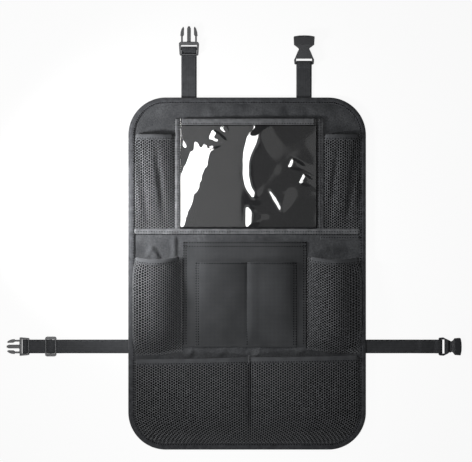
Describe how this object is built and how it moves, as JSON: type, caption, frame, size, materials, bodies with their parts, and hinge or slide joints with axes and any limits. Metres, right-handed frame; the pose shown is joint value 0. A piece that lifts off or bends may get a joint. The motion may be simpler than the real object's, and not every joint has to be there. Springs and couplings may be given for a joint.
{
  "type": "seat back storage organizer",
  "caption": "Soft hanging panel with a clear tablet window, mesh bottle pockets, document pockets, a deep mesh pocket and buckled webbing straps.",
  "frame": {"origin": "centre of the panel's flat back face, on the surface it lies on", "axes": "+X to the right seen from the pockets, +Y to the panel's top edge, +Z out of the pocket face"},
  "size_m": [0.7662, 0.7132, 0.0301],
  "materials": {
    "panel_cloth": "matte non-woven polyester",
    "pocket_cloth": "matte woven polyester",
    "mesh_net": "knitted polyester net",
    "binding_tape": "soft folded polyester tape",
    "webbing": "woven polypropylene webbing",
    "clear_film": "clear flexible film",
    "moulded_plastic": "moulded acetal"
  },
  "bodies": {
    "root": {"back_panel": "panel_cloth", "edge_binding": "binding_tape", "window_film": "clear_film", "window_binding_top": "binding_tape", "window_binding_left": "binding_tape", "window_binding_right": "binding_tape", "upper_row_tape": "binding_tape", "upper_left_mesh": "mesh_net", "upper_left_hem": "binding_tape", "upper_right_mesh": "mesh_net", "upper_right_hem": "binding_tape", "middle_left_mesh": "mesh_net", "middle_left_hem": "binding_tape", "middle_right_mesh": "mesh_net", "middle_right_hem": "binding_tape", "document_pocket": "pocket_cloth", "front_pocket": "pocket_cloth", "bottom_mesh": "mesh_net", "bottom_hem": "binding_tape", "top_left_strap": "webbing", "top_right_strap": "webbing", "left_side_strap": "webbing", "right_side_strap": "webbing", "top_male_buckle": "moulded_plastic", "top_female_buckle": "moulded_plastic", "side_male_buckle": "moulded_plastic", "side_female_buckle": "moulded_plastic", "side_slider": "moulded_plastic"}
  },
  "joints": []
}
